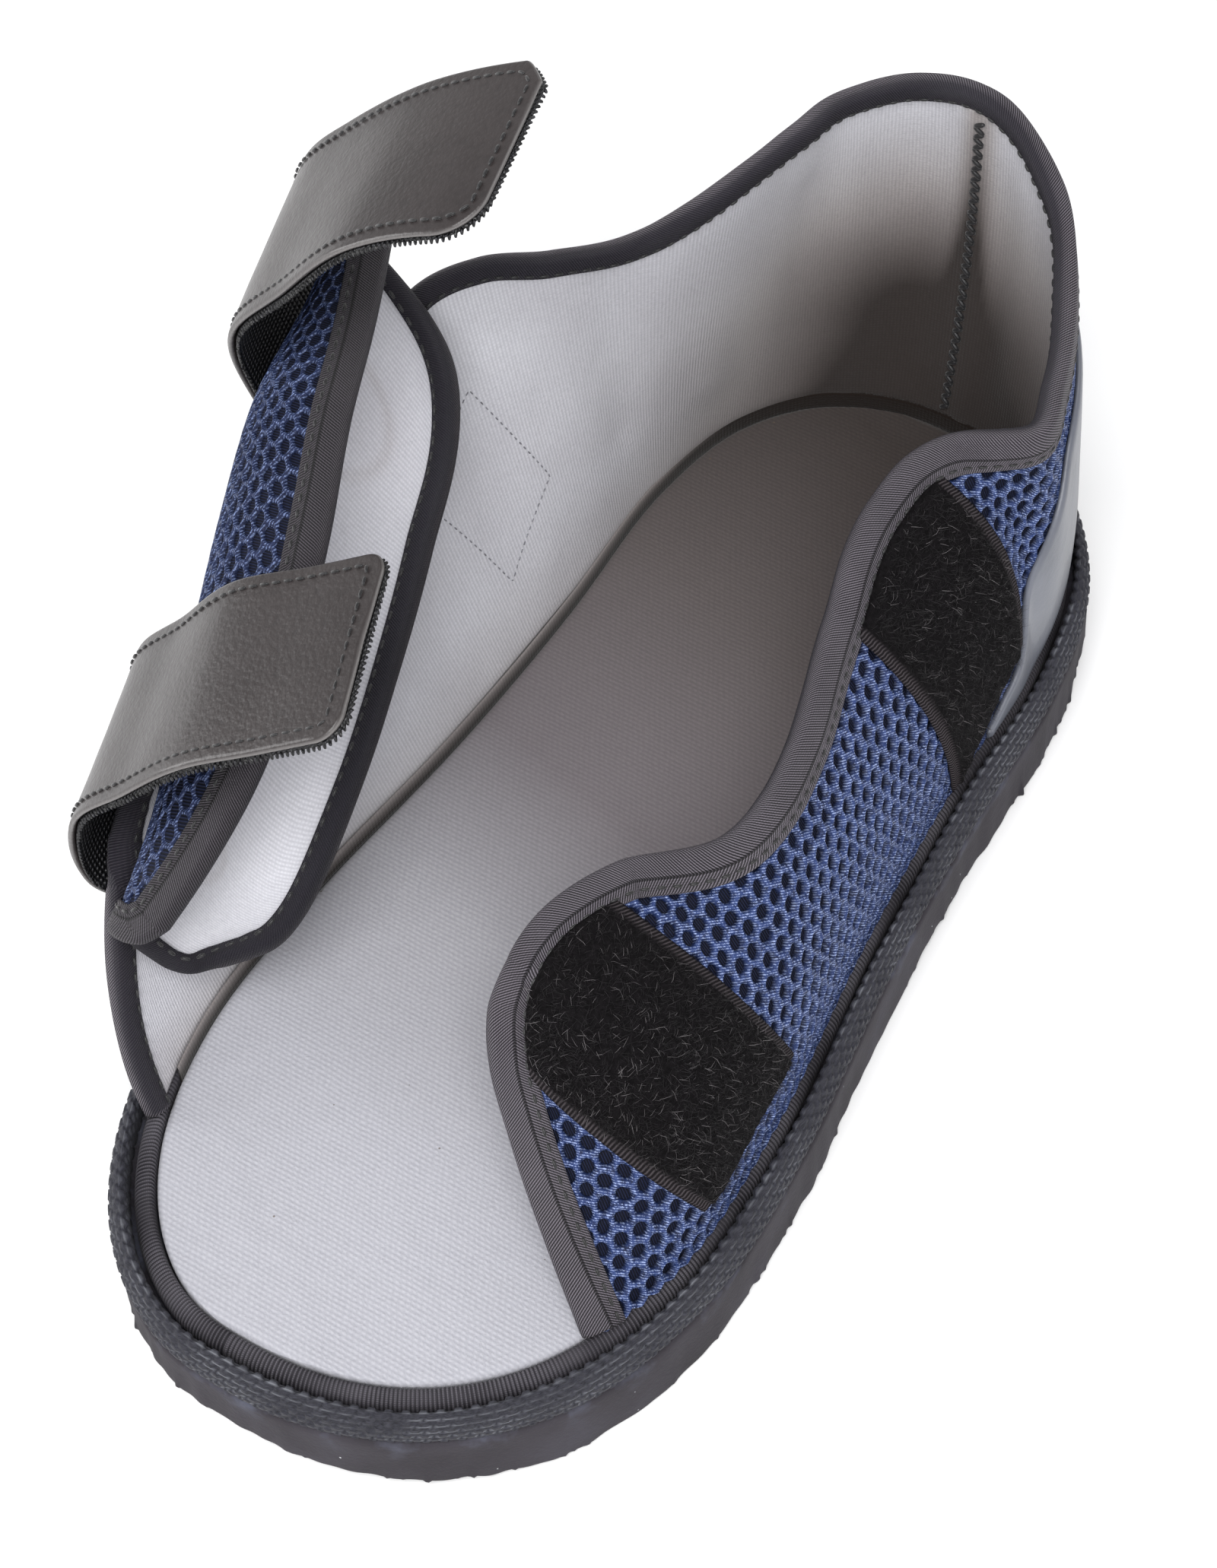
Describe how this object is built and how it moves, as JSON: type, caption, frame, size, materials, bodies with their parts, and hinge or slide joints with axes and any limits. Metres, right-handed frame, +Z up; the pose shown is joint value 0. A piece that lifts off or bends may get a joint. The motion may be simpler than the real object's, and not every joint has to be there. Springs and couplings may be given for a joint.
{
  "type": "post operative shoe",
  "caption": "Open-toe post operative shoe with a wide mesh upper, laid-open tongue, padded insole, hook and loop straps and a flat welted foam sole.",
  "frame": {"origin": "on the floor under the middle of the sole, on the flat tread in front of the arch", "axes": "+Z up, toe towards -Y, heel towards +Y, the laid-open straps and tongue towards -X"},
  "size_m": [0.1653, 0.2859, 0.1871],
  "materials": {
    "sole_foam": "matte dark foam, lightly rough at its lower edge",
    "webbing": "coarse black basket-weave webbing",
    "grosgrain": "charcoal ribbed binding tape",
    "insole_knit": "pale grey fine twill knit",
    "air_mesh": "blue spacer mesh with round holes",
    "lining_knit": "pale grey brushed knit lining",
    "counter_film": "smooth pale grey synthetic",
    "loop_pile": "black fuzzy loop pile",
    "leatherette": "charcoal pebbled leatherette",
    "hook_tape": "black hook tape",
    "thread": "dark sewing thread"
  },
  "bodies": {
    "root": {"outsole": "sole_foam", "welt_webbing": "webbing", "rand_tape": "grosgrain", "insole": "insole_knit", "upper": "air_mesh", "upper_binding": "grosgrain", "heel_counter": "counter_film", "loop_patch_front": "loop_pile", "loop_patch_rear": "loop_pile", "tongue": "air_mesh", "tongue_binding": "grosgrain", "strap_front": "leatherette", "hook_front": "hook_tape", "strap_rear": "leatherette", "hook_rear": "hook_tape"}
  },
  "joints": []
}
